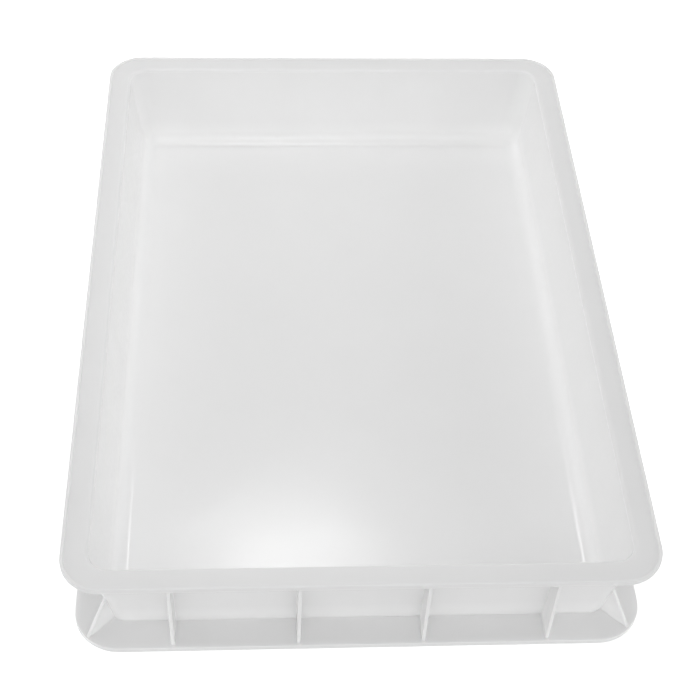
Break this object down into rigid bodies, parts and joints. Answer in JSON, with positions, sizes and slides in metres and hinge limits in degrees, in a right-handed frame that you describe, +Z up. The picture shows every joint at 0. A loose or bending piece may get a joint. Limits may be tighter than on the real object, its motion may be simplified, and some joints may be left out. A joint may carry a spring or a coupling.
{
  "type": "dough proofing container",
  "caption": "Shallow stackable food tray of translucent plastic, with leaning walls, a flat rim with a stacking lip, a ledge round the foot and upright ribs.",
  "frame": {"origin": "centre of the underside, on the surface that the container stands on", "axes": "+X across the width, +Y along the length, +Z up out of the mouth"},
  "size_m": [0.4572, 0.6604, 0.0889],
  "materials": {
    "polypropylene": "satin, translucent natural white"
  },
  "bodies": {
    "root": {"base_plate": "polypropylene", "foot_rim": "polypropylene", "walls": "polypropylene", "rim_flange": "polypropylene", "stacking_lip": "polypropylene", "end_ribs": "polypropylene", "side_ribs": "polypropylene", "corner_gussets": "polypropylene"}
  },
  "joints": []
}
